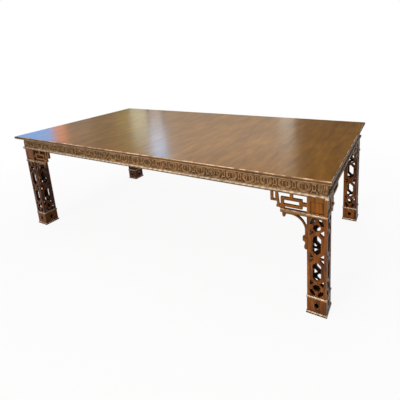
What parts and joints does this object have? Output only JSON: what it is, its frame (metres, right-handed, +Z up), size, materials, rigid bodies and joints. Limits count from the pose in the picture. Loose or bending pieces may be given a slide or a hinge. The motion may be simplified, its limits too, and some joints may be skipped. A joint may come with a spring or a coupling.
{
  "type": "extending dining table",
  "caption": "Rectangular extending dining table on pierced fret legs with fret corner brackets and a carved frieze; the top parts at the middle and draws apart on wooden slides.",
  "frame": {"origin": "middle of the table on the floor", "axes": "+X along the length toward the right end, +Y toward the back, +Z up"},
  "size_m": [2.455, 1.185, 0.76],
  "materials": {
    "top_veneer": "gloss lacquer, grain across the table",
    "edge_wood": "satin lacquer, rubbed pale on the arris",
    "carved_wood": "satin lacquer, darker in the hollows",
    "block_wood": "satin lacquer",
    "moulding_wood": "satin lacquer, rubbed pale",
    "frame_wood": "waxed, unstained"
  },
  "bodies": {
    "left_half": {"back_slide_runner_left": "frame_wood", "bearer_left": "frame_wood", "bracket_end_back_left": "carved_wood", "bracket_end_front_left": "carved_wood", "bracket_side_back_left": "carved_wood", "bracket_side_front_left": "carved_wood", "corner_braces_left": "frame_wood", "front_slide_runner_left": "frame_wood", "leg_block_back_left": "block_wood", "leg_block_front_left": "block_wood", "leg_collar_back_left": "moulding_wood", "leg_collar_front_left": "moulding_wood", "leg_fret_back_left": "carved_wood", "leg_fret_front_left": "carved_wood", "leg_plinth_back_left": "carved_wood", "leg_plinth_front_left": "carved_wood", "moulding_back_left": "moulding_wood", "moulding_end_left": "moulding_wood", "moulding_front_left": "moulding_wood", "rail_back_left": "carved_wood", "rail_end_left": "carved_wood", "rail_front_left": "carved_wood", "top_edge_back_left": "edge_wood", "top_edge_end_left": "edge_wood", "top_edge_front_left": "edge_wood", "top_panel_left": "top_veneer", "top_tongues": "frame_wood"},
    "right_half": {"back_slide_runner_right": "frame_wood", "bearer_right": "frame_wood", "bracket_end_back_right": "carved_wood", "bracket_end_front_right": "carved_wood", "bracket_side_back_right": "carved_wood", "bracket_side_front_right": "carved_wood", "corner_braces_right": "frame_wood", "front_slide_runner_right": "frame_wood", "leg_block_back_right": "block_wood", "leg_block_front_right": "block_wood", "leg_collar_back_right": "moulding_wood", "leg_collar_front_right": "moulding_wood", "leg_fret_back_right": "carved_wood", "leg_fret_front_right": "carved_wood", "leg_plinth_back_right": "carved_wood", "leg_plinth_front_right": "carved_wood", "moulding_back_right": "moulding_wood", "moulding_end_right": "moulding_wood", "moulding_front_right": "moulding_wood", "rail_back_right": "carved_wood", "rail_end_right": "carved_wood", "rail_front_right": "carved_wood", "top_edge_back_right": "edge_wood", "top_edge_end_right": "edge_wood", "top_edge_front_right": "edge_wood", "top_panel_right": "top_veneer"},
    "front_slide_middle": {"front_slide_runner_middle": "frame_wood"},
    "back_slide_middle": {"back_slide_runner_middle": "frame_wood"}
  },
  "joints": [
    {"name": "half_draw", "type": "slide", "parent": "left_half", "child": "right_half", "axis": [1, 0, 0], "range_m": [0, 0.914]},
    {"name": "front_runner_draw", "type": "slide", "parent": "left_half", "child": "front_slide_middle", "axis": [1, 0, 0], "range_m": [0, 0.457]},
    {"name": "back_runner_draw", "type": "slide", "parent": "left_half", "child": "back_slide_middle", "axis": [1, 0, 0], "range_m": [0, 0.457]}
  ],
  "couplings": [
    {"joint": "front_runner_draw", "follows": "half_draw", "ratio": 0.5},
    {"joint": "back_runner_draw", "follows": "half_draw", "ratio": 0.5}
  ]
}
